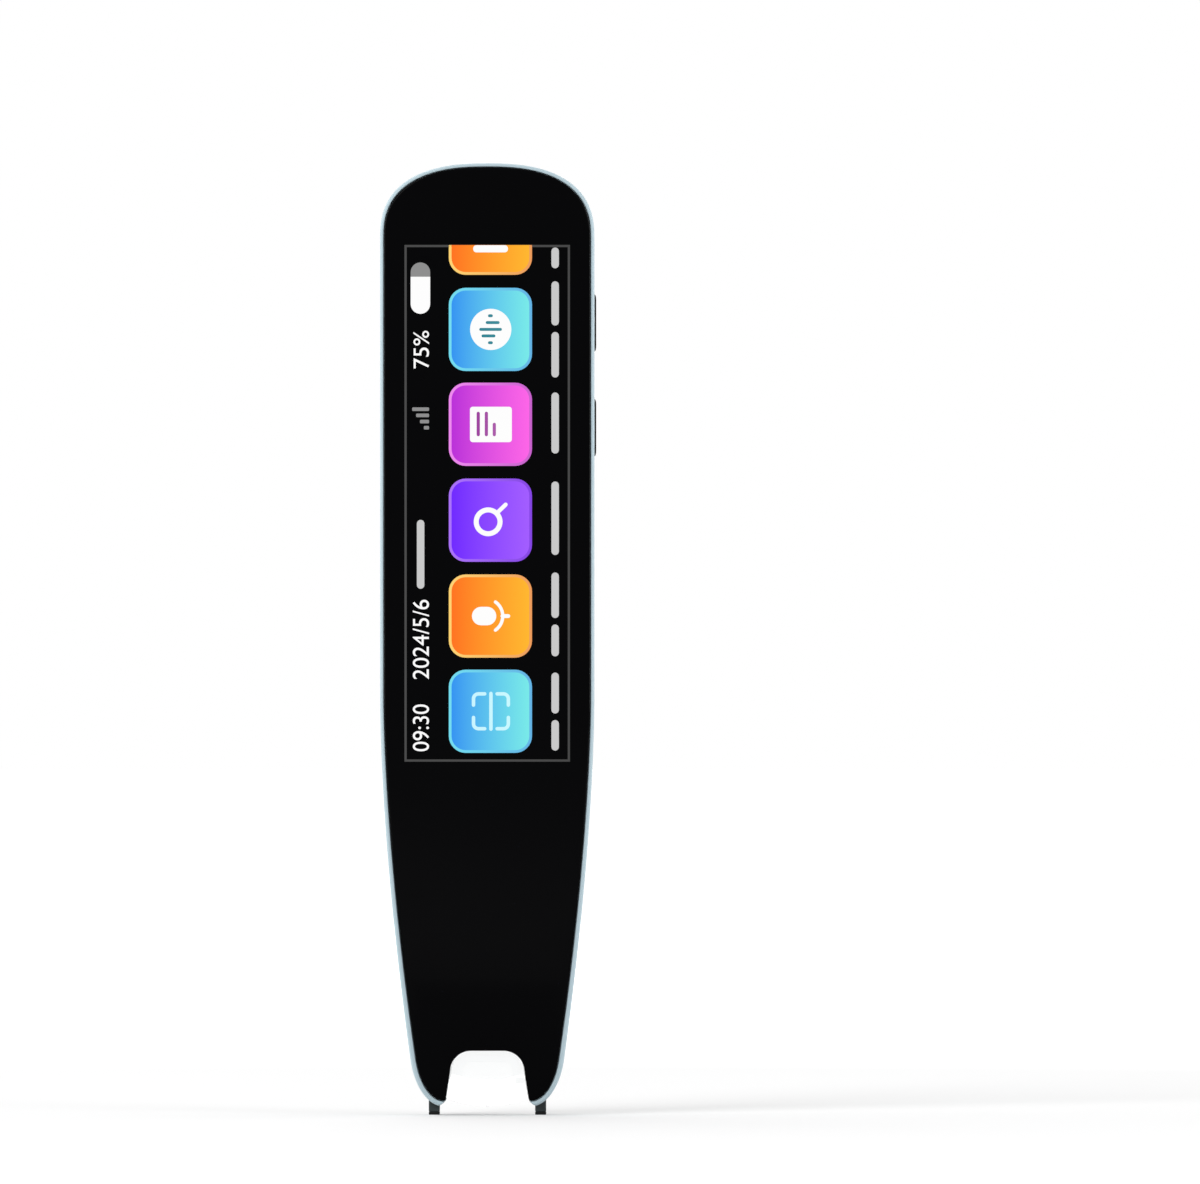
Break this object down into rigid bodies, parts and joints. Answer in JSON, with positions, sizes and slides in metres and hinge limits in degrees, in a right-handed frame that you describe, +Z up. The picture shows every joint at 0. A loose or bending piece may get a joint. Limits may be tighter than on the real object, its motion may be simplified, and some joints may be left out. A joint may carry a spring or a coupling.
{
  "type": "scanner pen",
  "caption": "Hand-held scanner pen with a long glass-fronted screen, a notched nib with a clear window, sprung feet, side buttons and a rear speaker.",
  "frame": {"origin": "level with the soles of the two feet, under the middle of the case", "axes": "+Z up the case from the nib to the domed top, -Y out of the screen, +X towards the side buttons"},
  "size_m": [0.0333, 0.0116, 0.1466],
  "materials": {
    "frame_pale": "fine satin paint, pale blue-grey",
    "glass_black": "polished glass printed black on its inner face",
    "shell_charcoal": "fine satin, charcoal",
    "insert_charcoal": "fine satin, charcoal",
    "button_black": "satin, near black",
    "foot_grey": "satin, dark grey",
    "window_clear": "clear moulded plastic",
    "line_ink": "printed ink",
    "tape_dark": "foam tape",
    "panel_black": "display glass",
    "backlight_silver": "reflector film",
    "flex_amber": "polyimide film",
    "chassis_metal": "cast, bead blasted",
    "board_green": "solder mask",
    "chip_black": "moulded resin",
    "shield_steel": "pressed sheet",
    "socket_white": "moulded",
    "screw_steel": "zinc plated",
    "battery_foil": "pouch foil",
    "lead_red": "wire insulation",
    "lead_black": "wire insulation",
    "mesh_steel": "woven dust mesh",
    "foam_black": "soft foam",
    "driver_black": "moulded",
    "switch_steel": "pressed sheet",
    "port_steel": "drawn, nickel plated",
    "spring_steel": "drawn wire",
    "lens_glass": "coated lens",
    "lamp_white": "lamp with a warm phosphor"
  },
  "bodies": {
    "pen_body": {"front_frame": "frame_pale", "cover_glass": "glass_black", "glass_adhesive": "tape_dark", "display_panel": "panel_black", "display_backlight": "backlight_silver", "display_flex": "flex_amber", "chassis": "chassis_metal", "main_board": "board_green", "processor_chip": "chip_black", "memory_chip": "chip_black", "radio_shield": "shield_steel", "battery_socket": "socket_white", "chassis_screw_1": "screw_steel", "chassis_screw_2": "screw_steel", "chassis_screw_3": "screw_steel", "chassis_screw_4": "screw_steel", "board_screw_1": "screw_steel", "board_screw_2": "screw_steel", "battery": "battery_foil", "battery_tape": "tape_dark", "battery_lead_red": "lead_red", "battery_lead_black": "lead_black", "speaker_grille": "insert_charcoal", "speaker_mesh": "mesh_steel", "speaker_gasket": "foam_black", "speaker_driver": "driver_black", "power_switch": "switch_steel", "function_switch": "switch_steel", "key_bracket": "chassis_metal", "key_flex": "flex_amber", "microphone": "shield_steel", "microphone_boot": "foam_black", "usb_board": "board_green", "usb_port": "port_steel", "usb_tongue": "chip_black", "link_flex": "flex_amber", "usb_board_screw_1": "screw_steel", "usb_board_screw_2": "screw_steel", "trigger_spring_left": "spring_steel", "trigger_spring_right": "spring_steel", "trigger_switch": "switch_steel", "scan_head_cover": "insert_charcoal", "scan_window": "window_clear", "guide_line": "line_ink", "camera_module": "driver_black", "camera_lens": "lens_glass", "camera_flex": "flex_amber", "light_board": "board_green", "light_left": "lamp_white", "light_right": "lamp_white", "rear_shell": "shell_charcoal", "antenna": "flex_amber"},
    "power_key": {"power_button": "button_black", "power_switch_plunger": "socket_white"},
    "function_key": {"function_button": "button_black", "function_switch_plunger": "socket_white"},
    "trigger": {"trigger_fork": "foot_grey", "trigger_switch_plunger": "socket_white"}
  },
  "joints": [
    {"name": "power_press", "type": "slide", "parent": "pen_body", "child": "power_key", "axis": [-1, 0, 0], "range_m": [0, 0.00035], "stiffness_N_per_m": 800, "springref_m": -0.0012},
    {"name": "function_press", "type": "slide", "parent": "pen_body", "child": "function_key", "axis": [-1, 0, 0], "range_m": [0, 0.00035], "stiffness_N_per_m": 800, "springref_m": -0.0012},
    {"name": "trigger_press", "type": "slide", "parent": "pen_body", "child": "trigger", "axis": [0, 0, 1], "range_m": [0, 0.0012], "stiffness_N_per_m": 800, "springref_m": -0.0015, "deforming": ["trigger_spring_left", "trigger_spring_right"]}
  ]
}
